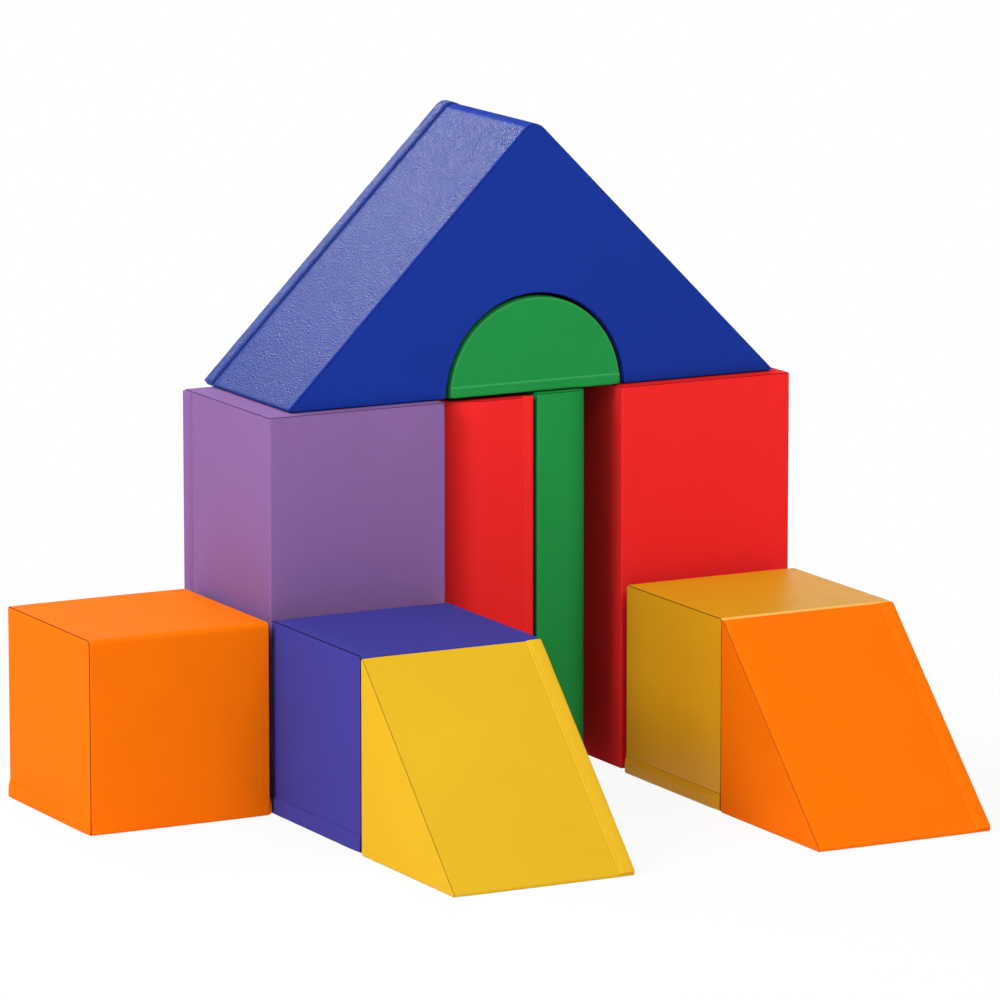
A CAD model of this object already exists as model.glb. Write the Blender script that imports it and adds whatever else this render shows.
import math

import bmesh
import bpy
import numpy as np
from mathutils import Euler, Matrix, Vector
from mathutils.geometry import delaunay_2d_cdt


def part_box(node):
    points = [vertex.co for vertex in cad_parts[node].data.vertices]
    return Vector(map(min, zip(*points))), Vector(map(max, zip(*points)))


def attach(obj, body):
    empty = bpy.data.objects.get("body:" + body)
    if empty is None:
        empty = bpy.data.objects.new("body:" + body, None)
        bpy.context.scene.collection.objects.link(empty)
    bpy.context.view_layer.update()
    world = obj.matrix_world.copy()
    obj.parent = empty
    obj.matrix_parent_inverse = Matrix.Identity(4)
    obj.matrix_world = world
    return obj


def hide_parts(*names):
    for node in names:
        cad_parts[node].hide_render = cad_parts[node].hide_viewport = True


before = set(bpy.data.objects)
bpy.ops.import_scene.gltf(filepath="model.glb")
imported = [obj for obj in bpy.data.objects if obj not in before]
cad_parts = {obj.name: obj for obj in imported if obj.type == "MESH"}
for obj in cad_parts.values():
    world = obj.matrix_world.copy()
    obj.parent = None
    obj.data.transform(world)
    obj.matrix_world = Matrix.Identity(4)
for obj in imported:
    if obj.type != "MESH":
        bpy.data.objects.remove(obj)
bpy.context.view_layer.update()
MM = 0.001

# Sizes of the blocks and covers, in millimetres. SHARP_R is the solids' radius where POINT_R is drawn
SKIN = 2.3
SHEET = 1.5
EDGE_R = 6.0
SHARP_R = 3.5
POINT_R = 3.2
RIDGE_R = 20.0
ARCH_R = 128.0
ARCH_EDGE_R = 3.0
DISC_R = 124.5
WEDGE = 254.0
LEG = 503.0
HALF_ROOF = LEG / math.sqrt(2)
DIAGONAL = math.sqrt(0.5)
POST_SAG = 3.0
FOAM_GAP = 0.35
# Inset and distance from the end of the foam's eased rings, and where its straight stretch starts
FOAM_EASE = [(0.2, 0.0), (0.1, 0.2), (0.0, 0.8)]
FOAM_STRAIGHT = 20.0
FOAM_RINGS = 6

# Sizes of the flaps and zips
FLAP_EDGE = 1.0
FLAP_END = 4.0
FLAP_SEAM = 2.5
FLAP_RISE = 3.2
FLAP_UNDER = 2.0
ZIP_END = 10.0
ZIP_W = 6.5
SEAM_GAP = 0.3
TAPE_TOP = -1.2
TAPE_BOTTOM = -1.9
TAPE_SLIT = 0.12
TAPE_WAVE = 0.06
TAPE_STEP = 9.0
COIL_W = 3.0
COIL_H = 1.2
COIL_PITCH = 2.2
COIL_TURN_POINTS = 6
COIL_R = 0.3
STOP_L = 2.0
STOP_HALF_W = 2.6
STOP_SINK = 0.05
STOP_R = 0.35
SLIDER_TOP = 1.0
SLIDER_BOTTOM = -0.9
SLIDER_PLATE = 0.7
SLIDER_BORE = 1.82
SLIDER_L = 10
# Half width of the slider's body along its length
SLIDER_WIDTHS = [(0, 2.1), (0.4, 2.35), (1.5, 2.6), (5.0, 2.68), (8.0, 2.5), (9.5, 2.3), (SLIDER_L, 2.05)]
# The bridge's two bars: length from and to, height from and to, and radius
BRIDGE = [(2.2, 3.4, -0.2, 0.68, 0.25), (2.2, 8.4, 0.46, 0.7, 0.1)]
BRIDGE_HALF_W = 0.6
# Middle and half sizes of the pull's outline and of its slot, and how square they are
PULL = (13.0, 8.0, 2.0)
PULL_SLOT = (11.8, 5.4, 1.0)
PULL_SQUARE = 0.42
PULL_POINTS = 32
# Height of the pull's loops over the slider, and how far each is drawn in
PULL_LOOPS = [(PULL, 0.12, 0.1), (PULL, 0.34, 0), (PULL, 0.42, 0.12),
              (PULL_SLOT, 0.42, -0.1), (PULL_SLOT, 0.34, 0), (PULL_SLOT, 0.12, -0.08)]

# Name, shape, face with the zip, flap width, radii of the outline's corners and colour
BLOCKS = [
    ("purple_column", "tall", "left", 21, (3, 3, 3, 3), "purple"),
    ("red_column", "tall", "left", 21, (3, 3, 3, 3), "red"),
    ("red_post", "tall", "front", 14, (60, 3, 3, 3), "red"),
    ("green_plank", "tall", "right", 14, (3, 40, 3, 3), "green"),
    ("orange_cube", "cube", "end", 21, (3, 3, 3, 7), "orange"),
    ("indigo_cube", "cube", "end", 21, (3, 3, 3, 5), "indigo"),
    ("yellow_cube", "cube", "end", 21, (3, 3, 3, 5), "amber"),
    ("yellow_wedge", "wedge", "slope", 21, (POINT_R,) * 3, "yellow"),
    ("orange_wedge", "wedge", "slope", 21, (POINT_R,) * 3, "orange"),
    ("blue_roof", "roof", "slope", 21, (), "blue"),
    ("green_half_disc", "disc", "end", 14, (), "green"),
]
FIRST_SEED = 40
PANEL_SEED = 11

# Soft form: crown of a face, its slow waves, and the puckers along a seam
CROWN = 0.25
CROWN_REACH = 50.0
WAVE = 0.1
WAVES = 5
WAVE_LENGTH = (70, 190)
WAVE_EASE = 30.0
PUCKER = 0.12
PUCKERS = 4
PUCKER_LENGTH = (13, 36)
PUCKER_REACH = 9.0
SHIFT_REACH = 4.0
# Shift along the puckers between a block's two end panels
END_SHIFT = 400

# Spacing of the meshes' points: the ease distances are those of the first points from an end
CORNER_STEPS = 6
CORNER_DEGREES = 9
CURVE_POINTS = 73
EDGE_EASE = (2.5, 7.0)
EDGE_STEP = 11.0
EDGE_GAP = 1.6
EDGE_END = 1.0
LIP_EASE = 1.8
ROW_EASE = [8.0, 14.0, 24.0]
ROW_STEP = 16.0
ROW_GAP = 1.2
BEND_STEP = 2.2
BEND_ROWS = 14
BEND_END = 4.0
BEND_GAP = 0.8
STRIP_EASE = (0, 0.4, 0.9, 1.7, 3.0, 6.0)
STRIP_STEP = 14.0
PANEL_STEP = 13.0
PANEL_JITTER = 0.12
PANEL_ROW = 0.866
RIM_IN = 2.0
RIM_GAP = 5.5
HOLE_STEP = 12.0
HOLE_GAP = 4.0

# Section of a seam, from deep in its groove out to the flat face: distance from the block's end
# and depth under the band's face
GROOVE_GAP = 0.2
LIP = [(1.7, -1.5), (1.15, -0.95), (0.75, -0.55), (0.66, -0.3), (0.85, -0.1), (1.25, -0.02), (1.8, 0.0)]
ROOF_LIP = [(2.3, -2.0), (1.6, -1.75), (1.1, -1.55), (1.0, -1.3), (1.6, -0.75), (3.1, -0.28), (5.8, 0.0)]
ROOF_RIM = [(1.9, -1.5), (1.45, -0.95), (1.15, -0.55), (1.05, -0.3), (1.2, -0.1), (1.5, -0.02), (1.9, 0.0)]
# Shade along that section: above 0 the dark of the groove, under 0 the worn, lighter crest of the lip
LIP_SHADE = [1.0, 1.0, 1.0, 0.9, 0.4, -1.0, -0.4]
RIM_SHADE = [1.0, 1.0, 1.0, 0.9, 0.4, -1.0, 0.0]
DISC_SHADE = [1.0, 1.0, 1.0, 0.9, 0.3, -0.7, -1.0]
ROOF_SHADE = [0.9, 0.9, 0.9, 0.8, 0.5, 0.3, 0.0]
# Strength of that shade on each shape
SEAM_DEPTH = {"cube": 1.0, "wedge": 0.3, "roof": 0.7, "tall": 0.6, "disc": 0.7}
# How worn the crests of a block's lips are
WEAR = {"orange_cube": 0.5, "yellow_wedge": 0.4, "orange_wedge": 0.5, "green_half_disc": 1.0}
# The corner of a cube's outline that is its upper front edge, and how worn that edge is
TOP_EDGE = ("corner", 3)
EDGE_WEAR = {"yellow_cube": 2.4}
# How far from the half disc's rim its worn edge ends
WORN_WIDTH = 4.2

# Fold at a flap's sewn edge, from its crease up: distance across the flap and height
FLAP_FOLD = [(-1.6, -1.3), (-1.4, -0.45), (-0.9, -0.12), (-0.3, 0.4), (0.4, 0.8), (1.4, 1.15),
             (2.6, 1.55), (3.2, 1.74), (4.2, 2.12), (5.3, 2.48), (6.2, 2.7)]
STEEP_FOLD = [(-1.6, -1.3), (-1.4, -0.45), (-1.0, -0.1), (-0.7, 0.7), (-0.4, 1.5), (0.1, 2.1),
              (0.9, 2.5), (2.0, 2.75), (3.2, 2.88), (4.6, 2.95), (6.2, 3.0)]
RAMP_FOLD = [(-1.6, -1.3), (-1.4, -0.45), (-0.9, -0.1), (-0.2, 0.55), (0.5, 1.25), (1.2, 1.95),
             (1.8, 2.4), (2.5, 2.68), (3.4, 2.82), (4.6, 2.9), (6.2, 2.95)]
FOLDS = {"roof": STEEP_FOLD, "disc": RAMP_FOLD}
# Shade along the fold: dark in its crease, or worn and lighter on the half disc
FOLD_DARK = [0.7, 0.8, 0.7, 0.3, 0.05]
FOLD_LIGHT = [0.0, 0.0, 0.0, -0.4, -1.0, -0.6, 0.0]
# Darkness of the crease beside a flap, and of a flap's free edge
CREASE = {"orange_cube": 0.15, "yellow_cube": 0.9, "blue_roof": 1.0}
PLAIN_CREASE = 0.5
FREE_DARK = {"blue_roof": 0.8}
FREE_EDGE_W = 1.3
# Length at each end of a flap over which it is sewn down, and how deep
FLAP_TACK = 2.6
FLAP_TUCK = -0.5
# Length at each end of a flap over which its free edge rounds in and its top comes down, and how far
FLAP_ROUND = 3.0
ROUND_IN = 1.4
ROUND_LOW = 0.3
# Share by which a flap sinks towards its first and its last end, and over what length
SINK = {"cube": (0.65, 0.0), "roof": (0.0, 0.8)}
SINK_L = (14.0, 16.0)
FLAT = (0.0, 0.0)
# Puckers of a flap's top, which lies over TOP_Z, and of its free edge
TOP_Z = 1.9
TOP_PUCKER = 0.1
TOP_STRETCH = 0.8
FREE_PUCKER = 0.3
FREE_STRETCH = 0.5
FREE_SHIFT = 90
# How far the drawn flap runs past the two ends of the zip's own length
FLAP_PAST = {"cube": (8.4, 8.4), "wedge": (6.6, 6.6), "roof": (6.6, 28.0), "tall": (2.6, 2.6),
             "disc": (5.0, 5.0)}
# Row of stitches: place across the flap, first and last place along it, pitch, length and thickness
STITCH_Y = 3.2
STITCH_FIRST = 7.0
STITCH_LAST = 6.0
STITCH_PITCH = 4.4
STITCH_L = 3.1
STITCH_R = 0.34


def smooth(t):
    t = np.clip(t, 0, 1)
    return t * t * (3 - 2 * t)


def unit(v):
    return v / np.linalg.norm(v)


def circle(count):
    """Even angles round a full turn."""
    return np.linspace(0, 2 * math.pi, count + 1)[:-1]


def turn_of(d_in, d_out):
    """Angle between two directions."""
    return math.acos(float(np.clip(d_in @ d_out, -1, 1)))


def spread(lo, hi, ease, count):
    """Places at each ease distance from both ends, and at count even steps between the innermost two."""
    even = np.linspace(lo + ease[-1], hi - ease[-1], count + 1)[1:-1]
    return [lo + e for e in ease] + [hi - e for e in ease] + list(even)


def thinned(marks, want, gap):
    """The marks, and each wanted place that is further than gap from all those kept before it."""
    kept = sorted(marks)
    for w in sorted(want):
        if all(abs(w - k) > gap for k in kept):
            kept.append(w)
    return sorted(kept)


class Ripple:
    """Slow waves of a taut cover and the shorter puckers along its seams."""

    def __init__(self, seed):
        r = np.random.default_rng(seed)
        d = r.normal(size=(WAVES, 3))
        d /= np.linalg.norm(d, axis=1)[:, None]
        self.wave_k = d * (2 * math.pi / r.uniform(*WAVE_LENGTH, WAVES))[:, None]
        self.wave_phase = r.uniform(0, 2 * math.pi, WAVES)
        self.pucker_k = 2 * math.pi / r.uniform(*PUCKER_LENGTH, PUCKERS)
        self.pucker_phase = r.uniform(0, 2 * math.pi, PUCKERS)

    def slow(self, p):
        return 0.5 + 0.5 * np.sin(p @ self.wave_k.T + self.wave_phase).mean(axis=-1)

    def pucker(self, s):
        return 0.5 + 0.5 * np.sin(np.multiply.outer(s, self.pucker_k) + self.pucker_phase).mean(axis=-1)


class Path:
    """Closed outline with outward normals, walked anticlockwise."""

    def __init__(self):
        self.p, self.n, self.tag = [], [], []

    def add(self, p, n, tag):
        self.p.append(np.array(p, float))
        self.n.append(np.array(n, float))
        self.tag.append(tag)

    def corner(self, at, r, d_in, d_out, tag):
        d_in, d_out = np.array(d_in, float), np.array(d_out, float)
        turn = turn_of(d_in, d_out)
        right = np.array([d_in[1], -d_in[0]])
        centre = np.array(at) - d_in * (r * math.tan(turn / 2)) - right * r
        steps = max(CORNER_STEPS, math.ceil(math.degrees(turn) / CORNER_DEGREES))
        for k in range(steps + 1):
            c, s = math.cos(turn * k / steps), math.sin(turn * k / steps)
            n = np.array([c * right[0] - s * right[1], s * right[0] + c * right[1]])
            self.add(centre + r * n, n, tag)

    def arc(self, centre, r, start, stop, out, tag):
        """Points between two angles; out is 1 where the normals leave the centre, and else -1."""
        for t in np.linspace(start, stop, CURVE_POINTS)[1:-1]:
            n = out * np.array([math.cos(t), math.sin(t)])
            self.add(np.array(centre) + out * r * n, n, tag)

    def straight(self, start, end, room, tag, marks=()):
        """Points up to room before end; marks are distances from start that get a point of their own."""
        a, b = np.array(start, float), np.array(end, float)
        d = unit(b - a)
        before, after = (self.p[-1] - a) @ d, np.linalg.norm(b - a) - room
        count = max(1, int((after - before - 2 * EDGE_EASE[-1]) / EDGE_STEP))
        want = spread(before, after, EDGE_EASE, count)
        want = [w for w in want if before + EDGE_END < w < after - EDGE_END]
        for w in thinned(marks, want, EDGE_GAP):
            self.add(a + d * w, (d[1], -d[0]), tag)

    def polygon(self, corners, radii, marks):
        count = len(corners)
        c = [np.array(p, float) for p in corners]
        d = [unit(c[(i + 1) % count] - c[i]) for i in range(count)]
        for i in range(count):
            j = (i + 1) % count
            self.corner(c[i], radii[i], d[i - 1], d[i], ("corner", i))
            room = radii[j] * math.tan(turn_of(d[i], d[j]) / 2)
            self.straight(c[i], c[j], room, ("edge", i), marks.get(i, ()))

    def close(self):
        self.p, self.n = np.array(self.p), np.array(self.n)
        step = np.linalg.norm(np.roll(self.p, -1, axis=0) - self.p, axis=1)
        self.s = np.concatenate([[0], np.cumsum(step)[:-1]])
        return self


class Block:
    """A block's place, outline and zip, in its own coordinates: a and b across, c along."""

    def __init__(self, entry, seed):
        self.name, self.shape, self.face, self.flap_w, self.radii, self.colour = entry
        self.rip = Ripple(seed)
        lo, hi = (np.array(v, float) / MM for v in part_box(self.name + "_foam"))
        lo, hi = lo - SKIN, hi + SKIN
        self.size, self.origin = hi - lo, lo.copy()
        self.foot = self.size - FLAP_EDGE - self.flap_w
        x, y, z = np.eye(3)
        roof = self.shape == "roof"
        if self.shape == "tall":
            self.axes, self.length = (x, y, z), self.size[2]
        elif self.shape in ("cube", "wedge"):
            self.axes, self.length = (y, z, x), self.size[0]
        else:
            self.axes, self.length = (x, z, y), self.size[1]
            self.origin[0] = (lo[0] + hi[0]) / 2 - (HALF_ROOF if roof else DISC_R)
        if self.shape == "wedge":
            self.origin[1] = hi[1] - WEDGE
        if self.name == "red_post":
            self.length -= POST_SAG
        self.lip, self.rim = (ROOF_LIP, ROOF_RIM) if roof else (LIP, LIP)
        self.lip_shade = self.worn(ROOF_SHADE if roof else LIP_SHADE)
        self.rim_shade = self.worn(DISC_SHADE if self.shape == "disc" else RIM_SHADE)
        self.place_zip()
        self.outline()

    def worn(self, shades):
        wear = WEAR.get(self.name, 0.0)
        return [shade if shade > 0 else shade * wear for shade in shades]

    def place_zip(self):
        """Zip frame: origin, along the zip, across it from the flap's sewn edge, out of the cover."""
        o, k = self.origin, DIAGONAL
        x, y, z = np.eye(3)
        wide, deep, high = self.size
        foot_x, foot_y, _ = self.foot
        top = FLAP_EDGE + self.flap_w
        toe = SHARP_R / math.tan(math.pi / 8)
        if self.shape == "tall":
            start, stop = FLAP_END, high - FLAP_END
            at, across, out = {"left": ((0, foot_y, start), y, -x), "right": ((wide, foot_y, start), y, x),
                               "front": ((foot_x, 0, start), x, -y)}[self.face]
            self.zip_frame = (o + np.array(at), z, across, out)
        elif self.shape == "cube":
            start, stop = EDGE_R + FLAP_END, deep - EDGE_R - FLAP_END
            self.zip_frame = (o + np.array([0, start, top]), y, -z, -x)
        elif self.shape == "wedge":
            start, stop = toe + FLAP_END, WEDGE / k - toe - FLAP_END
            along = np.array([0, k, k])
            self.zip_frame = (o + foot_x * x + along * start, along, x, np.array([0, -k, k]))
        elif self.shape == "roof":
            start, stop = toe + FLAP_END, LEG - RIDGE_R - FLAP_END
            along = np.array([k, 0, k])
            self.zip_frame = (o + foot_y * y + along * start, along, y, np.array([-k, 0, k]))
        else:
            start = DISC_R - math.sqrt(DISC_R ** 2 - top ** 2) + SKIN + FLAP_END
            stop = 2 * DISC_R - start
            self.zip_frame = (o + np.array([start, 0, top]), x, -z, -y)
        self.start, self.stop = start, stop
        self.flap_l = stop - start
        self.zip_l = self.flap_l - 2 * ZIP_END
        self.bend_at = self.flap_l + FLAP_END
        bends = BEND_ROWS if self.shape == "roof" else 0
        self.bend_rows = [self.bend_at + BEND_STEP * i for i in range(bends)]

    def outline(self):
        path = Path()
        wide, deep, high = self.size
        foot_x, foot_y, _ = self.foot
        near, far = FLAP_SEAM, FLAP_SEAM + ZIP_W
        along = (self.start + ZIP_END, self.stop - ZIP_END)
        self.marks, self.c_marks, self.window = {}, (), None
        if self.shape in ("tall", "cube"):
            u, v = (wide, deep) if self.shape == "tall" else (deep, high)
            self.corners = [(0, 0), (u, 0), (u, v), (0, v)]
            if self.shape == "tall":
                self.c_marks = along
                self.marks = {"left": {3: (deep - foot_y - far, deep - foot_y - near)},
                              "right": {1: (foot_y + near, foot_y + far)},
                              "front": {0: (foot_x + near, foot_x + far)}}[self.face]
            path.polygon(self.corners, self.radii, self.marks)
        elif self.shape == "wedge":
            slope = WEDGE * math.sqrt(2)
            self.corners = [(0, 0), (WEDGE, 0), (WEDGE, WEDGE)]
            self.c_marks = (foot_x + near, foot_x + far)
            self.marks = {2: (slope - along[1], slope - along[0])}
            path.polygon(self.corners, self.radii, self.marks)
        elif self.shape == "roof":
            self.corners = {"slope": (HALF_ROOF, HALF_ROOF)}
            self.c_marks = (foot_y + near, foot_y + far)
            self.marks = {"slope": (LEG - along[1], LEG - along[0])}
            self.roof_outline(path)
        else:
            r, rise = ARCH_EDGE_R, math.asin(ARCH_EDGE_R / DISC_R)
            path.corner((0, 0), r, (0, -1), (1, 0), "toe")
            path.straight((0, 0), (2 * DISC_R, 0), r, "base")
            path.corner((2 * DISC_R, 0), r, (1, 0), (0, 1), "toe2")
            path.arc((DISC_R, 0), DISC_R, rise, math.pi - rise, 1, "round")
        if self.shape in ("cube", "disc"):
            top = FLAP_EDGE + self.flap_w
            self.window = (*along, top - far, top - near)
        self.path = path.close()

    def roof_outline(self, path):
        half, k = HALF_ROOF, DIAGONAL
        toe = POINT_R * math.tan(math.radians(135) / 2)
        rise = math.asin(ARCH_EDGE_R / ARCH_R)
        path.corner((0, 0), POINT_R, (-k, -k), (1, 0), "eave")
        path.straight((0, 0), (half - ARCH_R, 0), ARCH_EDGE_R, "base")
        path.corner((half - ARCH_R, 0), ARCH_EDGE_R, (1, 0), (0, 1), "foot")
        path.arc((half, 0), ARCH_R, math.pi - rise, rise, -1, "arch")
        path.corner((half + ARCH_R, 0), ARCH_EDGE_R, (0, -1), (1, 0), "foot2")
        path.straight((half + ARCH_R, 0), (2 * half, 0), toe, "base2")
        path.corner((2 * half, 0), POINT_R, (1, 0), (-k, k), "eave2")
        path.straight((2 * half, 0), (half, half), RIDGE_R, "slope2")
        path.corner((half, half), RIDGE_R, (-k, k), (-k, -k), "ridge")
        path.straight((half, half), (0, 0), toe, "slope", self.marks["slope"])

    def world(self, a, b, c):
        x, y, z = (np.multiply.outer(v, axis) for v, axis in zip((a, b, c), self.axes))
        return self.origin + x + y + z

    def edge_drop(self, s):
        """How far the corner at a seam lies inside the sharp edge."""
        return CROWN + PUCKER * self.rip.pucker(s)

    def local(self, q):
        """Places given in the zip frame."""
        return self.zip_frame[0] + q @ np.array(self.zip_frame[1:])

    def over_ridge(self, q):
        """Zip frame that turns over the roof's ridge where the slope ends."""
        x, y, z = q.T
        turn = np.maximum(x - self.bend_at, 0) / RIDGE_R
        arm = RIDGE_R + z
        along = np.minimum(x, self.bend_at) + arm * np.sin(turn)
        return self.local(np.column_stack([along, y, arm * np.cos(turn) - RIDGE_R]))

    def on_far_end(self, q):
        """Zip frame mirrored onto the block's other end, for the hem there."""
        return self.local(q * (1, 1, -1)) + self.size[0] * self.axes[2]


def make(name, verts, faces, mats, body, seam=None, face_mats=None, angle=None):
    """Mesh object in metres with outward faces, riding on a body."""
    me = bpy.data.meshes.new(name)
    me.from_pydata((np.asarray(verts) * MM).tolist(), [], [list(map(int, f)) for f in faces])
    if seam is not None:
        at = me.attributes.new("seam", "FLOAT", "POINT")
        at.data.foreach_set("value", np.asarray(seam, np.float32))
    for m in mats:
        me.materials.append(m)
    if face_mats is not None:
        me.polygons.foreach_set("material_index", np.asarray(face_mats, np.int32))
    bm = bmesh.new()
    bm.from_mesh(me)
    bmesh.ops.recalc_face_normals(bm, faces=bm.faces[:])
    bm.to_mesh(me)
    bm.free()
    me.polygons.foreach_set("use_smooth", [True] * len(me.polygons))
    if angle is not None:
        me.set_sharp_from_angle(angle=math.radians(angle))
    me.update()
    o = bpy.data.objects.new(name, me)
    bpy.context.scene.collection.objects.link(o)
    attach(o, body)
    return o


def ring_quads(rings, count):
    """Faces between neighbouring closed rings of count points each."""
    faces = []
    for i in range(rings - 1):
        for j in range(count):
            m = (j + 1) % count
            faces.append((i * count + j, i * count + m, (i + 1) * count + m, (i + 1) * count + j))
    return faces


def sweep(sections):
    """Closed tube through sections of equally many points, with a cap at each end."""
    n = len(sections[0])
    total = n * len(sections)
    caps = [tuple(range(n))[::-1], tuple(range(total - n, total))]
    return np.concatenate(sections), ring_quads(len(sections), n) + caps


def join(parts):
    """One mesh from several, each with an optional seam shade and material number."""
    verts, faces, seam, mats, base = [], [], [], [], 0
    for part in parts:
        v, f = np.asarray(part[0], float), part[1]
        verts.append(v)
        faces += [tuple(int(x) + base for x in q) for q in f]
        seam.append(part[2] if len(part) > 2 and part[2] is not None else np.zeros(len(v)))
        mats += [part[3] if len(part) > 3 else 0] * len(f)
        base += len(v)
    return np.concatenate(verts), faces, np.concatenate(seam), mats


def opposite(j, rows):
    """Column on the inside of a band's sheet that lies under an outside column."""
    return 2 * (len(LIP) + rows) - 1 - min(max(j - len(LIP), 0), rows - 1)


def find_window(block, index, rows):
    """Outline points, outside columns and inside columns of a band between which the zip's window lies."""
    key, pair = next(iter(block.marks.items()))
    tag = key if isinstance(key, str) else ("edge", key)
    on = [k for k, i in enumerate(index) if block.path.tag[i] == tag]
    away = np.linalg.norm(block.path.p[index] - np.array(block.corners[key], float), axis=1)
    i = sorted(min(on, key=lambda k: abs(away[k] - m)) for m in pair)
    j = [len(LIP) + int(np.argmin(abs(rows - m))) for m in block.c_marks]
    return *i, *j, *sorted(opposite(t, len(rows)) for t in j)


def band(block, keep=None, window=True):
    """The cover's band: a closed sheet round the outline with its ends turned into the seams."""
    length = block.length
    lip_c = np.array([q[0] for q in block.lip]) + GROOVE_GAP
    lip_n = np.array([q[1] for q in block.lip])
    ease = [lip_c[-1] + LIP_EASE] + ROW_EASE
    count = max(2, round((length - 2 * ROW_EASE[-1]) / ROW_STEP))
    rows = np.array(thinned(block.c_marks, spread(0, length, ease, count), ROW_GAP))
    flat, lips = np.zeros(len(rows)), np.ones(len(LIP))
    pc = np.concatenate([lip_c, rows, length - lip_c[::-1], rows[::-1]])
    pn = np.concatenate([lip_n, flat, lip_n[::-1], flat - SHEET])
    dark = np.concatenate([block.lip_shade, flat, block.lip_shade[::-1], flat])
    in_lip = np.concatenate([lips, flat, lips, flat])

    index = np.arange(len(block.path.p)) if keep is None else np.array(keep)
    p, n, s = block.path.p[index], block.path.n[index], block.path.s[index]
    d = np.where(in_lip, 0, np.minimum(pc, length - pc))
    drop = block.edge_drop(s)
    fall = 1 - smooth(d / CROWN_REACH)
    near = np.exp(-(d / PUCKER_REACH) ** 2)
    base = block.world(p[:, 0], p[:, 1], np.zeros(len(p)))
    slow = WAVE * block.rip.slow(base[:, None, :] + pc[:, None] * block.axes[2])
    off = pn - (CROWN * fall + (drop - CROWN)[:, None] * near + slow * (1 - near))
    shift = drop[:, None] * np.exp(-d / SHIFT_REACH) * np.where(pc < length / 2, 1.0, -1.0)
    verts = block.world(p[:, :1] + n[:, :1] * off, p[:, 1:] + n[:, 1:] * off, pc + shift)

    count, cols = verts.shape[:2]
    idx = np.arange(count * cols).reshape(count, cols)
    i0, i1, j0, j1, q0, q1 = find_window(block, index, rows) if window and block.marks else (0,) * 6
    faces = []
    for i in range(count if keep is None else count - 1):
        k = (i + 1) % count
        for j in range(cols):
            m = (j + 1) % cols
            if not (i0 <= i < i1 and (j0 <= j < j1 or q0 <= j < q1)):
                faces.append((idx[i, j], idx[k, j], idx[k, m], idx[i, m]))
    under = [opposite(j, len(rows)) for j in range(2 * len(LIP) + len(rows))]
    if keep is not None:
        for i in (0, count - 1):
            for j in range(len(under) - 1):
                quad = dict.fromkeys((idx[i, j], idx[i, j + 1], idx[i, under[j + 1]], idx[i, under[j]]))
                if len(quad) > 2:
                    faces.append(tuple(quad))
    rim = [(i, j0) for i in range(i0, i1)] + [(i1, j) for j in range(j0, j1)]
    rim += [(i, j1) for i in range(i1, i0, -1)] + [(i0, j) for j in range(j1, j0, -1)]
    for (i, j), (k, m) in zip(rim, rim[1:] + rim[:1]):
        faces.append((idx[i, j], idx[k, m], idx[k, under[m]], idx[i, under[j]]))

    seam = np.tile(dark, (count, 1)) * SEAM_DEPTH[block.shape]
    corner = np.array([block.path.tag[i] == TOP_EDGE for i in index])
    crest = corner & np.roll(corner, 1) & np.roll(corner, -1)
    seam[np.ix_(crest, dark == 0)] = -EDGE_WEAR.get(block.name, 0.0)
    return verts.reshape(-1, 3), faces, seam.reshape(-1)


def hex_points(lo, hi, step, seed):
    """Points in staggered rows, each moved a little at random."""
    r = np.random.default_rng(seed)
    pts = []
    y, k = lo[1], 0
    while y < hi[1]:
        x = lo[0] + (step / 2 if k % 2 else 0)
        while x < hi[0]:
            pts.append((x, y))
            x += step
        y += step * PANEL_ROW
        k += 1
    pts = np.array(pts)
    return pts + r.uniform(-PANEL_JITTER, PANEL_JITTER, pts.shape) * step


def inside(pts, poly):
    x, y = pts[:, 0], pts[:, 1]
    hit = np.zeros(len(pts), bool)
    for (a, b), (c, d) in zip(poly, np.roll(poly, -1, axis=0)):
        if b != d:
            hit ^= ((b > y) != (d > y)) & (x < (c - a) * (y - b) / (d - b) + a)
    return hit


def rim_distance(pts, poly):
    best = np.full(len(pts), np.inf)
    for a, b in zip(poly, np.roll(poly, -1, axis=0)):
        d = b - a
        t = np.clip(((pts - a) @ d) / max(d @ d, 1e-9), 0, 1)
        best = np.minimum(best, np.linalg.norm(pts - a - t[:, None] * d, axis=1))
    return best


def fill(rings, extra=np.zeros((0, 2))):
    """Triangles between closed rings, the first one outside and the others holes, over extra points."""
    pts = np.concatenate([*rings, extra])
    edges, base = [], 0
    for r in rings:
        edges += [(base + i, base + (i + 1) % len(r)) for i in range(len(r))]
        base += len(r)
    made, _, tris, given, *_ = delaunay_2d_cdt([tuple(map(float, q)) for q in pts], edges, [], 0, 1e-6)
    made = np.array([tuple(v) for v in made])
    ids = [o[0] for o in given]
    mid = np.array([made[list(t)].mean(axis=0) for t in tris])
    ok = inside(mid, rings[0])
    for r in rings[1:]:
        ok &= ~inside(mid, r)
    return [tuple(ids[v] for v in t) for t, good in zip(tris, ok) if good]


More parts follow.
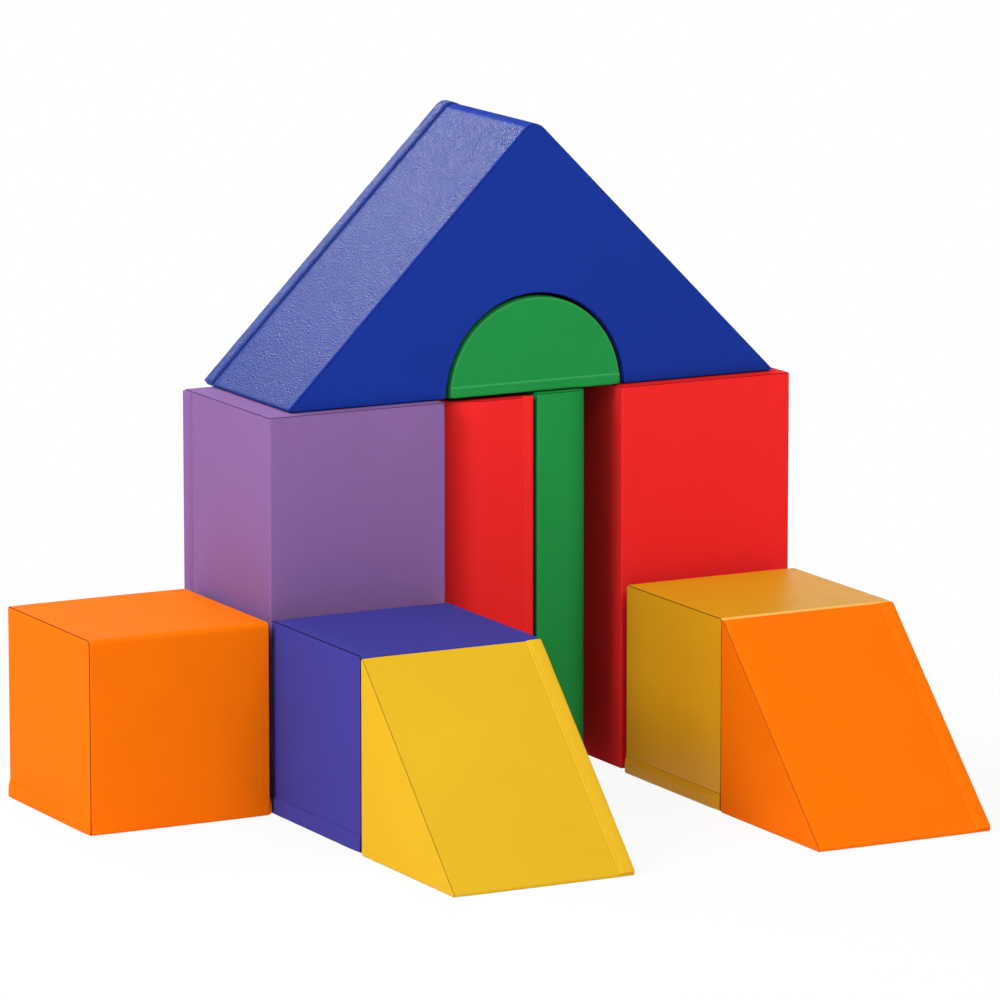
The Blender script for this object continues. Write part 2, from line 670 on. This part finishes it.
def panel(block, end):
    """One end panel: a closed sheet whose rim turns into the seam, crowned towards its middle."""
    p, n, s = block.path.p, block.path.n, block.path.s
    drop = block.edge_drop(s + END_SHIFT * end)
    count = len(p)
    rim = [p - n * (inset + GROOVE_GAP + drop)[:, None] for inset, _ in block.rim]
    edge = rim[-1]
    holes = []
    if block.window and end == 0:
        a0, a1, b0, b1 = block.window
        xs = np.linspace(a0, a1, max(2, int((a1 - a0) / HOLE_STEP)) + 1)
        holes = [np.array([(x, b0) for x in xs] + [(x, b1) for x in xs[::-1]])]
    pts = hex_points(edge.min(axis=0), edge.max(axis=0), PANEL_STEP, PANEL_SEED + end)
    pts = pts[inside(pts, edge)]
    pts = pts[rim_distance(pts, edge) > RIM_GAP]
    if block.shape == "disc":
        near = (p - n * WORN_WIDTH)[[tag in ("round", "base") for tag in block.path.tag]]
        near = near[inside(near, edge)]
        pts = np.concatenate([near[rim_distance(near, edge) > ROW_GAP], pts])
    for h in holes:
        pts = pts[~inside(pts, h)]
        pts = pts[rim_distance(pts, h) > HOLE_GAP]
    inner = np.concatenate([*holes, pts])
    d = rim_distance(inner, edge) + RIM_IN
    slow = WAVE * block.rip.slow(block.world(*inner.T, np.full(len(inner), end * block.length)))
    inner_depth = CROWN * (1 - smooth(d / CROWN_REACH)) + slow * smooth(d / WAVE_EASE)

    flat = np.concatenate([*rim, inner])
    depth = np.concatenate([*(drop - fall for _, fall in block.rim), inner_depth])
    first, shell = len(rim) * count, len(flat)
    faces = ring_quads(len(rim), count)
    faces += [tuple(v + first - count for v in t) for t in fill([edge] + holes, pts)]
    for h in holes:
        flat = np.concatenate([flat, h])
        depth = np.concatenate([depth, inner_depth[:len(h)] + SHEET])
        for j in range(len(h)):
            m = (j + 1) % len(h)
            faces.append((first + j, first + m, shell + m, shell + j))
    back = fill([rim[0]] + holes)
    faces += [tuple(v if v < count else shell + v - count for v in t)[::-1] for t in back]
    shade = np.concatenate([np.repeat(block.rim_shade, count), np.zeros(len(flat) - first)])
    c = depth if end == 0 else block.length - depth
    return block.world(*flat.T, c), faces, shade * SEAM_DEPTH[block.shape]


def strip(block, frame_of, profile, sunk=FLAT):
    """Flap or hem: a soft section swept along the zip and past it to the block's edges."""
    w = block.flap_w
    first, last = FLAP_PAST[block.shape]
    lo, hi = -first, block.flap_l + last
    places = spread(lo, hi, STRIP_EASE, max(4, round((hi - lo) / STRIP_STEP)) - 1)
    xs = thinned(places, [x for x in block.bend_rows if x < hi - BEND_END], BEND_GAP)
    across, height = np.array(profile, float).T
    dark = np.zeros(len(across))
    shade = np.array(FOLD_DARK) * CREASE.get(block.name, PLAIN_CREASE)
    if block.shape == "disc":
        shade = FOLD_LIGHT
    dark[:len(shade)] = shade
    dark[(across > w - FREE_EDGE_W) & (height > 1)] = FREE_DARK.get(block.name, 0.0)
    under = np.arange(len(across)) > np.argmax(across)
    free = smooth((across - w * 0.5) / (w * 0.5))
    secs = []
    for x in xs:
        end = min(x - lo, hi - x)
        t = 1 - min(end / FLAP_ROUND, 1)
        round_in = 1 - math.sqrt(max(0, 1 - t * t))
        low = 1.0
        for share, away, reach in zip(sunk, (x - lo, hi - x), SINK_L):
            low *= 1 - share * (1 - smooth(away / reach))
        z = np.where(height > 0, height * (1 - ROUND_LOW * round_in) * low, height)
        sewn = smooth(1 - end / FLAP_TACK)
        z = np.where(under & (z > FLAP_TUCK), z + (FLAP_TUCK - z) * sewn, z)
        z = np.where(z > TOP_Z, z - TOP_PUCKER * block.rip.pucker(x * TOP_STRETCH), z)
        pull = FREE_PUCKER * (0.5 + block.rip.pucker(x * FREE_STRETCH + FREE_SHIFT))
        y = across - free * (ROUND_IN * round_in + pull)
        secs.append(frame_of(np.column_stack([np.full(len(y), x), y, z])))
    v, f = sweep(secs)
    return v, f, np.tile(dark, len(xs))


def flap_profile(w, fold):
    top, under = FLAP_RISE, FLAP_UNDER
    return fold + [
        (w * 0.6, top - 0.12), (w * 0.75, top), (w - 2.6, top - 0.05), (w - 1.2, top - 0.2),
        (w - 0.4, top - 0.5), (w - 0.15, 2.45), (w - 0.4, 2.15), (w - 1.1, under + 0.02),
        (w * 0.7, under), (w * 0.45, under), (4.6, 1.97), (3.7, 1.53), (3.05, 1.12), (2.6, 0.6),
        (2.45, 0.0), (2.4, -1.3)]


def hem_profile(w):
    top = FLAP_RISE
    return FLAP_FOLD + [
        (w * 0.6, top - 0.12), (w * 0.75, top), (w - 2.8, top - 0.1), (w - 1.4, top - 0.4),
        (w - 0.5, top - 1.1), (w - 0.1, 1.2), (w - 0.1, 0.2), (w - 1.2, -0.4), (w - 2.2, -1.3)]


def stitches(frame_of, length, fold):
    """Row of sewn stitches, each a short rounded thread that dips at its ends."""
    parts = []
    z = float(np.interp(STITCH_Y, *np.transpose(fold))) + 0.02
    x = STITCH_FIRST
    while x + STITCH_L < length - STITCH_LAST:
        secs = []
        for t in np.linspace(0, 1, 5):
            r = STITCH_R * (0.45 + 0.55 * math.sin(math.pi * (0.12 + 0.76 * t)))
            mid_y = STITCH_Y + 0.1 * (t - 0.5)
            mid_z = z + 0.26 * math.sin(math.pi * t) - 0.12
            ring = [(x + STITCH_L * t, mid_y + r * math.cos(q), mid_z + r * math.sin(q)) for q in circle(6)]
            secs.append(frame_of(np.array(ring)))
        parts.append(sweep(secs))
        x += STITCH_PITCH
    v, f, _, _ = join(parts)
    return v, f


def rounded_bar(x0, x1, y0, y1, z0, z1, r, frame_of):
    """Bar with all its long edges and its ends rounded."""
    secs = []
    ends = [(0.0, r), (r * 0.3, r * 0.3), (r, 0.0)]
    corners = [(y1 - r, z1 - r), (y0 + r, z1 - r), (y0 + r, z0 + r), (y1 - r, z0 + r)]
    for x, inset in [(x0 + e, s) for e, s in ends] + [(x1 - e, s) for e, s in ends[::-1]]:
        rad = max(r - inset, 0.02)
        ring = []
        for quarter, (cy, cz) in enumerate(corners):
            for degrees in (0, 30, 60, 90):
                q = math.radians(90 * quarter + degrees)
                ring.append((x, cy + rad * math.cos(q), cz + rad * math.sin(q)))
        secs.append(frame_of(np.array(ring)))
    return sweep(secs)


def zip_parts(block):
    """Tape halves, the coil's turns and the end stops."""
    f, top = block.local, TAPE_TOP
    x0, x1 = ZIP_END + SEAM_GAP, ZIP_END + block.zip_l - SEAM_GAP
    y0, y1 = FLAP_SEAM + SEAM_GAP, FLAP_SEAM + ZIP_W - SEAM_GAP
    mid = (y0 + y1) / 2
    parts = []
    for a, b in ((y0, mid - TAPE_SLIT), (mid + TAPE_SLIT, y1)):
        secs = []
        for x in np.linspace(x0, x1, max(8, round((x1 - x0) / TAPE_STEP))):
            high = top + TAPE_WAVE * math.sin(x / 3.1)
            ring = [(x, a, TAPE_BOTTOM), (x, b, TAPE_BOTTOM), (x, b, top - 0.12), (x, b - 0.2, high - 0.06),
                    (x, (a + b) / 2, high - 0.08), (x, a + 0.2, high - 0.06), (x, a, top - 0.12)]
            secs.append(f(np.array(ring)))
        parts.append((*sweep(secs), None, 0))
    ry, rz = COIL_W / 2 - COIL_R, COIL_H / 2 - COIL_R
    secs = []
    for i in range(int((x1 - x0 - 2 * STOP_L) / COIL_PITCH) * COIL_TURN_POINTS + 1):
        turns = i / COIL_TURN_POINTS
        c, s = math.cos(2 * math.pi * turns), math.sin(2 * math.pi * turns)
        at = np.array([x0 + STOP_L + COIL_PITCH * turns, mid + ry * c, top + COIL_H / 2 + rz * s])
        d = unit(np.array([COIL_PITCH / (2 * math.pi), -ry * s, rz * c]))
        u = unit(np.cross(d, (1, 0, 0)))
        w = np.cross(d, u)
        ring = [at + COIL_R * (math.cos(q) * u + math.sin(q) * w) for q in circle(5)]
        secs.append(f(np.array(ring)))
    parts.append((*sweep(secs), None, 1))
    sides = (mid - STOP_HALF_W, mid + STOP_HALF_W)
    for a in (x0, x1 - STOP_L):
        stop = rounded_bar(a, a + STOP_L, *sides, top - STOP_SINK, top + COIL_H, STOP_R, f)
        parts.append((*stop, None, 1))
    return join(parts)


def pull_loop(middle, half_l, half_w):
    """Outline of the pull or its slot, a superellipse."""
    pts = []
    for q in 2 * math.pi * np.arange(PULL_POINTS) / PULL_POINTS:
        x, y = (math.copysign(abs(v) ** PULL_SQUARE, v) for v in (math.cos(q), math.sin(q)))
        pts.append((middle + half_l * x, half_w * y))
    return np.array(pts)


def slider_parts(block):
    """Slider body with its flanges, the bridge and the pull with its slot."""
    f = block.local
    x0 = ZIP_END + SEAM_GAP + STOP_L + SEAM_GAP
    mid = FLAP_SEAM + ZIP_W / 2
    top, low, bore = SLIDER_TOP, SLIDER_BOTTOM, SLIDER_BORE
    roof = top - SLIDER_PLATE
    secs = []
    for x, wide in SLIDER_WIDTHS:
        e = 0.25 if 0 < x < SLIDER_L else 0.45
        ring = [(-wide, low), (-bore, low), (-bore, roof), (bore, roof), (bore, low), (wide, low),
                (wide, top - e), (wide - e, top), (-wide + e, top), (-wide, top - e)]
        secs.append(f(np.array([(x0 + x, mid + y, z) for y, z in ring])))
    parts = [sweep(secs)]
    for a, b, z0, z1, r in BRIDGE:
        sides = (mid - BRIDGE_HALF_W, mid + BRIDGE_HALF_W)
        parts.append(rounded_bar(x0 + a, x0 + b, *sides, top + z0, top + z1, r, f))
    loops = []
    for outline, z, draw in PULL_LOOPS:
        pts = pull_loop(*outline)
        centre = pts.mean(axis=0)
        d = pts - centre
        pts = centre + d * (1 - draw / np.maximum(np.linalg.norm(d, axis=1), 1e-6))[:, None]
        loops.append(f(np.column_stack([x0 + pts[:, 0], mid + pts[:, 1], np.full(len(pts), top + z)])))
    verts = np.concatenate(loops)
    quads = ring_quads(len(loops) + 1, PULL_POINTS)
    parts.append((verts, [tuple(v % len(verts) for v in q) for q in quads]))
    return join(parts)


def foam_core(block):
    """Foam block inside the cover, with eased ends."""
    p, n, length = block.path.p, block.path.n, block.length
    inset = SKIN + FOAM_GAP
    start = inset + FOAM_STRAIGHT
    rows = [(inset + i, inset + c) for i, c in FOAM_EASE]
    middle = [(inset, c) for c in np.linspace(start, length - start, FOAM_RINGS)]
    rows = rows + middle + [(i, length - c) for i, c in rows[::-1]]
    verts = [block.world(*(p - n * i).T, np.full(len(p), c)) for i, c in rows]
    faces = ring_quads(len(rows), len(p))
    cap = fill([p - n * rows[0][0]])
    faces += [t[::-1] for t in cap]
    faces += [tuple((len(rows) - 1) * len(p) + v for v in t) for t in cap]
    return np.concatenate(verts), faces


# Materials
def nodes_of(name):
    m = bpy.data.materials.new(name)
    m.use_nodes = True
    t = m.node_tree
    t.nodes.clear()
    bs = t.nodes.new("ShaderNodeBsdfPrincipled")
    node(t, "ShaderNodeOutputMaterial", Surface=bs.outputs[0])
    return m, t, bs


def wire(t, n, inputs):
    """Give each named socket of a node a number or a colour, or link another node's output to it."""
    for key, value in inputs.items():
        if isinstance(value, (int, float)):
            n.inputs[key].default_value = value
        elif isinstance(value, tuple):
            n.inputs[key].default_value = (*value, 1)
        else:
            t.links.new(value, n.inputs[key])
    return n


def node(t, kind, **inputs):
    return wire(t, t.nodes.new(kind), inputs)


def texture(t, kind, **inputs):
    """Texture node laid out in the object's own coordinates."""
    at = t.nodes.new("ShaderNodeTexCoord").outputs["Object"]
    return node(t, "ShaderNodeTex" + kind, Vector=at, **inputs)


def math_node(t, op, a, b):
    n = t.nodes.new("ShaderNodeMath")
    n.operation = op
    return wire(t, n, {0: a, 1: b}).outputs[0]


def mix_colour(t, fac, a, b, kind="MIX"):
    n = t.nodes.new("ShaderNodeMix")
    n.data_type, n.blend_type = "RGBA", kind
    return wire(t, n, {0: fac, 6: a, 7: b}).outputs[2]


def ramp(t, value, lo, hi, to_lo, to_hi):
    spans = {"Value": value, "From Min": lo, "From Max": hi, "To Min": to_lo, "To Max": to_hi}
    return wire(t, t.nodes.new("ShaderNodeMapRange"), spans).outputs[0]


def bump(t, height, strength, distance, **after):
    n = node(t, "ShaderNodeBump", Height=height, Strength=strength, Distance=distance, **after)
    return n.outputs[0]


def linear(rgb):
    return tuple(c / 12.92 if c <= 0.04045 else ((c + 0.055) / 1.055) ** 2.4 for c in rgb)


def cover_material(name, colour, ior, rough, grain, depth=0.0006, speck=0.0):
    """Coated cover cloth: fine leather grain, slow colour drift, dark grooves and worn, lighter edges."""
    m, t, bs = nodes_of(name)
    cells = texture(t, "Voronoi", Scale=430.0, Randomness=1.0)
    cells.feature = "SMOOTH_F1"
    cells.inputs["Smoothness"].default_value = 0.35
    cell = cells.outputs["Distance"]
    creases = texture(t, "Noise", Scale=900.0, Detail=3.0, Roughness=0.6)
    slow = texture(t, "Noise", Scale=7.0, Detail=3.0, Roughness=0.55)
    mid = texture(t, "Noise", Scale=55.0, Detail=4.0, Roughness=0.6)
    base = linear(colour)
    light = tuple(min(1, c * 1.025) for c in base)
    deep = tuple(c * 0.965 for c in base)
    pit = tuple(c * 0.8 for c in base)
    worn = tuple(min(1, c * 1.2 + 0.12) for c in base)
    groove = tuple(c * c * 0.35 for c in base)
    col = mix_colour(t, ramp(t, slow.outputs["Fac"], 0.3, 0.7, 0.0, 1.0), deep, light)
    col = mix_colour(t, ramp(t, cell, 0.0, 0.75, 0.0, 0.12), col, pit)
    r = math_node(t, "ADD", ramp(t, mid.outputs["Fac"], 0.3, 0.7, rough - 0.05, rough + 0.06),
                  ramp(t, cell, 0.0, 0.8, 0.0, 0.08))
    if speck:
        dots = texture(t, "Noise", Scale=520.0, Detail=1.0, Roughness=0.5).outputs["Fac"]
        col = mix_colour(t, 1.0, col, ramp(t, dots, 0.32, 0.68, 1 - speck, 1 + speck), "MULTIPLY")
        r = math_node(t, "ADD", r, ramp(t, dots, 0.32, 0.68, -0.5 * speck, 0.5 * speck))
    seam = t.nodes.new("ShaderNodeAttribute")
    seam.attribute_name = "seam"
    wear = math_node(t, "MULTIPLY", seam.outputs["Fac"], -0.3)
    col = mix_colour(t, math_node(t, "MAXIMUM", wear, 0.0), col, worn)
    col = mix_colour(t, math_node(t, "MAXIMUM", seam.outputs["Fac"], 0.0), col, groove)
    first = bump(t, creases.outputs["Fac"], grain * 0.35, 0.0003)
    normal = bump(t, cell, grain, depth, Normal=first)
    wire(t, bs, {"Base Color": col, "Roughness": r, "IOR": ior, "Normal": normal})
    return m


def foam_material():
    m, t, bs = nodes_of("foam")
    pores = texture(t, "Voronoi", Scale=900.0, Randomness=1.0).outputs["Distance"]
    slow = texture(t, "Noise", Scale=14.0, Detail=3.0)
    col = mix_colour(t, slow.outputs["Fac"], (0.62, 0.61, 0.57), (0.74, 0.73, 0.70))
    col = mix_colour(t, ramp(t, pores, 0.1, 0.5, 0.5, 0.0), col, (0.3, 0.29, 0.26))
    wire(t, bs, {"Base Color": col, "Roughness": 0.95, "Normal": bump(t, pores, 0.6, 0.0008)})
    return m


def thread_material(name, colour):
    m, t, bs = nodes_of(name)
    twist = texture(t, "Wave", Scale=900.0, Distortion=1.5).outputs["Fac"]
    base = linear(colour)
    col = mix_colour(t, ramp(t, twist, 0, 1, 0, 0.5), base, tuple(c * 0.7 for c in base))
    wire(t, bs, {"Base Color": col, "Roughness": 0.7, "Normal": bump(t, twist, 0.4, 0.0001)})
    return m


def tape_material():
    m, t, bs = nodes_of("zip_tape")
    weave = texture(t, "Checker", Scale=2200.0).outputs["Fac"]
    fuzz = texture(t, "Noise", Scale=1500.0, Detail=2.0)
    col = mix_colour(t, weave, (0.03, 0.03, 0.032), (0.05, 0.05, 0.053))
    col = mix_colour(t, ramp(t, fuzz.outputs["Fac"], 0.4, 0.7, 0.0, 0.3), col, (0.09, 0.09, 0.09))
    wire(t, bs, {"Base Color": col, "Roughness": 0.85, "Normal": bump(t, weave, 0.4, 0.0001)})
    return m


def coil_material():
    m, t, bs = nodes_of("zip_coil")
    cloud = texture(t, "Noise", Scale=400.0, Detail=3.0).outputs["Fac"]
    col = mix_colour(t, cloud, (0.035, 0.035, 0.038), (0.07, 0.07, 0.073))
    wire(t, bs, {"Base Color": col, "Roughness": ramp(t, cloud, 0.3, 0.7, 0.3, 0.45)})
    return m


def metal_material():
    m, t, bs = nodes_of("slider_metal")
    scratch = texture(t, "Noise", Scale=700.0, Detail=4.0).outputs["Fac"]
    col = mix_colour(t, scratch, (0.5, 0.51, 0.53), (0.68, 0.69, 0.71))
    rough = ramp(t, scratch, 0.3, 0.7, 0.25, 0.42)
    normal = bump(t, scratch, 0.15, 0.0001)
    wire(t, bs, {"Base Color": col, "Metallic": 1.0, "Roughness": rough, "Normal": normal})
    return m


COLOURS = {
    "blue": (0.105, 0.21, 0.59), "green": (0.14, 0.57, 0.275), "purple": (0.535, 0.395, 0.62),
    "red": (0.937, 0.165, 0.165), "orange": (0.965, 0.45, 0.03), "indigo": (0.255, 0.248, 0.585),
    "yellow": (0.872, 0.69, 0.15), "amber": (0.87, 0.625, 0.09),
}
# Index of refraction and roughness of a cover, and the strength of its grain
DULL = (1.06, 0.5)
GLOSS = {"amber": (1.2, 0.34)}
GRAIN = 0.16
COVER = {k: cover_material(k + "_cover", v, *GLOSS.get(k, DULL), GRAIN) for k, v in COLOURS.items()}
SHEEN = cover_material("blue_sheen_cover", (0.1, 0.2, 0.52), 1.245, 0.42, 0.9, 0.001, 0.45)
HALF_SHEEN = cover_material("blue_half_sheen_cover", (0.1, 0.2, 0.55), 1.15, 0.46, 0.5, 0.0008, 0.3)
THREAD = {k: thread_material(k + "_thread", tuple(c * 0.86 + 0.03 for c in v)) for k, v in COLOURS.items()}
FOAM, TAPE, COIL, METAL = foam_material(), tape_material(), coil_material(), metal_material()

# Sideways part of the ridge's normal under which the roof's cover is dull, and half shiny
RIDGE_DULL = 0.62
RIDGE_HALF = 0.72
# Points at each end of the arch that stay with the band
LINING_IN = 3
# Angles in degrees over which an edge of a cover, a core or zip, and a slider is sharp
COVER_SHARP = 75
CORE_SHARP = 50
SLIDER_SHARP = 40


def roof_shine(block, rows, faces, cols):
    """Material number of each face of the roof's band: dull along its seams and over the ridge."""
    lean = [abs(block.path.n[i][0]) if block.path.tag[i] == "ridge" else 1.0 for i in rows]
    outer = (cols + 2 * len(LIP)) // 2
    made = []
    for q in faces:
        at = [v % cols for v in q]
        tip = max(lean[v // cols] for v in q)
        seam = max(at) < len(LIP) or (min(at) >= outer - len(LIP) and max(at) < outer)
        made.append(1 if seam or tip < RIDGE_DULL else 2 if tip < RIDGE_HALF else 0)
    return made


def dress_cover(blk):
    """The band round a block, with the lining of the roof's arch, and the two end panels."""
    name, cover = blk.name, COVER[blk.colour]
    if blk.shape == "roof":
        tags = blk.path.tag
        arch = [i for i, tag in enumerate(tags) if tag in ("foot", "arch", "foot2")]
        lining = arch[LINING_IN:-LINING_IN]
        rest = [*range(lining[-1], len(tags)), *range(lining[0] + 1)]
        v, f, s = band(blk, rest)
        shine = roof_shine(blk, rest, f, len(s) // len(rest))
        wrap = make(name + "_cover", v, f, [SHEEN, cover, HALF_SHEEN], name, s, shine, COVER_SHARP)
        v, f, s = band(blk, lining, False)
        inner = make(name + "_arch_cover", v, f, [cover], name, s, angle=COVER_SHARP)
        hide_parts("blue_roof_arch_lining")
    else:
        v, f, s = band(blk)
        wrap = make(name + "_cover", v, f, [cover], name, s, angle=COVER_SHARP)
    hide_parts(name + "_wrap")

    v, f, s, _ = join([panel(blk, 0), panel(blk, 1)])
    ends = make(name + "_cover_ends", v, f, [cover], name, s, angle=COVER_SHARP)
    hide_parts(name + "_end_panels")


def dress_flap(blk):
    """The zip's flap with its stitches, and the hem on a cube's other end."""
    w, shape = blk.flap_w, blk.shape
    fold = FOLDS.get(shape, FLAP_FOLD)
    profile = flap_profile(w, fold)
    lay = blk.over_ridge if shape == "roof" else blk.local
    flap = strip(blk, lay, profile, SINK.get(shape, FLAT))
    parts = [(*flap, 0), (*stitches(blk.local, blk.flap_l, fold), None, 1)]
    if shape == "cube":
        hem = strip(blk, blk.on_far_end, hem_profile(w))
        parts += [(*hem, 0), (*stitches(blk.on_far_end, blk.flap_l, FLAP_FOLD), None, 1)]
    v, f, s, numbers = join(parts)
    mats = [COVER[blk.colour], THREAD[blk.colour]]
    if shape == "roof":
        mats = [SHEEN, THREAD[blk.colour], COVER[blk.colour]]
        free_edge = range(len(fold) + 2, len(fold) + 8)
        for k in range(len(flap[1])):
            if k % len(profile) in free_edge:
                numbers[k] = 2
    piece = make(blk.name + "_zip_flap", v, f, mats, blk.name, s, numbers)


def dress_inside(blk):
    """Foam core, zip and slider."""
    name = blk.name
    v, f = foam_core(blk)
    core = make(name + "_foam_core", v, f, [FOAM], name, angle=CORE_SHARP)
    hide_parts(name + "_foam")

    v, f, _, numbers = zip_parts(blk)
    tape = make(name + "_zip_tape", v, f, [TAPE, COIL], name, None, numbers, CORE_SHARP)
    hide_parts(name + "_zip")

    v, f, _, _ = slider_parts(blk)
    slider = make(name + "_slider_pull", v, f, [METAL], name + "_slider", angle=SLIDER_SHARP)
    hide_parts(name + "_zip_slider")


for number, entry in enumerate(BLOCKS):
    block = Block(entry, FIRST_SEED + number)
    dress_cover(block)
    dress_flap(block)
    dress_inside(block)

# Floor, light and camera, in metres, watts and degrees
FLOOR_R = 40.0
FLOOR_Z = -0.0005
FLOOR_POINTS = 64
# Distances between which the floor seen fades to pure white, and its share of white at each
FADE = (0.7, 1.2)
FADE_WHITE = (0.9, 1.0)
# Strength of the white dome at the horizon and overhead, and what its left side adds
DOME_LOW, DOME_TOP, DOME_LEFT = 0.5, 0.47, 0.2
# Name, place, aim, size and power
LAMPS = [
    ("left_light", (-3.95, -0.35, 3.2), (0, 0, 0.35), 2.6, 133),
    ("front_light", (0.0, -4.5, 3.8), (0, 0, 0.3), 2.8, 112),
    ("back_light", (-0.13, 1.6, 1.55), (0.1, 0.2, 0.8), 0.8, 16.5),
]
# Camera fitted to the block corners in the photograph, with its focal length in pixels
PHOTO_PX = 1000
FOCAL_PX = 7192.5
SENSOR = 36.0
CAMERA_AT = (-4.1386, -7.8946, 2.0693)
CAMERA_DOWN = 10.601
CAMERA_TURN = -27.757
CLIP_END = 200
scene = bpy.context.scene


def place(name, data):
    o = bpy.data.objects.new(name, data)
    scene.collection.objects.link(o)
    return o


def backdrop_rays(t):
    """1 for the rays that show the white backdrop, and 0 for those that light the object."""
    path = t.nodes.new("ShaderNodeLightPath")
    direct = math_node(t, "MAXIMUM", path.outputs["Is Camera Ray"], path.outputs["Is Glossy Ray"])
    return math_node(t, "MAXIMUM", direct, path.outputs["Is Transmission Ray"])


def floor_material():
    m, t, bs = nodes_of("floor_white")
    wire(t, bs, {"Base Color": (0.93, 0.93, 0.93), "Roughness": 0.9, "Specular IOR Level": 0.1})
    away = wire(t, t.nodes.new("ShaderNodeVectorMath"),
                {0: t.nodes.new("ShaderNodeTexCoord").outputs["Object"]})
    away.operation = "LENGTH"
    paper = ramp(t, away.outputs["Value"], *FADE, *FADE_WHITE)
    white = node(t, "ShaderNodeEmission", Color=(1, 1, 1), Strength=1.0)
    share = math_node(t, "MULTIPLY", backdrop_rays(t), paper)
    mixed = wire(t, t.nodes.new("ShaderNodeMixShader"), {0: share, 1: bs.outputs[0], 2: white.outputs[0]})
    wire(t, next(n for n in t.nodes if n.type == "OUTPUT_MATERIAL"), {"Surface": mixed.outputs[0]})
    return m


def dome():
    """World that is white where it is seen and a soft light everywhere else."""
    world = bpy.data.worlds.new("studio")
    world.use_nodes = True
    t = world.node_tree
    t.nodes.clear()
    way = node(t, "ShaderNodeSeparateXYZ", Vector=t.nodes.new("ShaderNodeTexCoord").outputs["Generated"])
    light = math_node(t, "ADD", ramp(t, way.outputs["Z"], 0, 1, DOME_LOW, DOME_TOP),
                      ramp(t, way.outputs["X"], -1, 0, DOME_LEFT, 0))
    seen = backdrop_rays(t)
    unseen = math_node(t, "MULTIPLY", light, math_node(t, "SUBTRACT", 1.0, seen))
    back = node(t, "ShaderNodeBackground", Color=(1, 1, 1), Strength=math_node(t, "ADD", unseen, seen))
    node(t, "ShaderNodeOutputWorld", Surface=back.outputs[0])
    return world


floor_mesh = bpy.data.meshes.new("floor")
disc = [(FLOOR_R * math.cos(q), FLOOR_R * math.sin(q), FLOOR_Z) for q in circle(FLOOR_POINTS)]
floor_mesh.from_pydata(disc, [], [tuple(range(FLOOR_POINTS))])
floor_mesh.materials.append(floor_material())
floor = place("floor", floor_mesh)
scene.world = dome()

for name, at, aim, size, power in LAMPS:
    lamp_data = bpy.data.lights.new(name, "AREA")
    lamp_data.shape = "DISK"
    lamp_data.size, lamp_data.energy = size, power
    lamp = place(name, lamp_data)
    dx, dy, dz = unit(np.array(aim, float) - np.array(at, float))
    lamp.location = at
    lamp.rotation_euler = Euler((math.acos(-dz), 0, math.atan2(-dx, dy)))

cam_data = bpy.data.cameras.new("camera")
cam_data.sensor_width = SENSOR
cam_data.lens = SENSOR * FOCAL_PX / PHOTO_PX
cam_data.clip_end = CLIP_END
cam = place("camera", cam_data)
cam.location = CAMERA_AT
cam.rotation_euler = Euler((math.radians(90 - CAMERA_DOWN), 0, math.radians(CAMERA_TURN)))
scene.camera = cam
scene.view_settings.view_transform = "Standard"
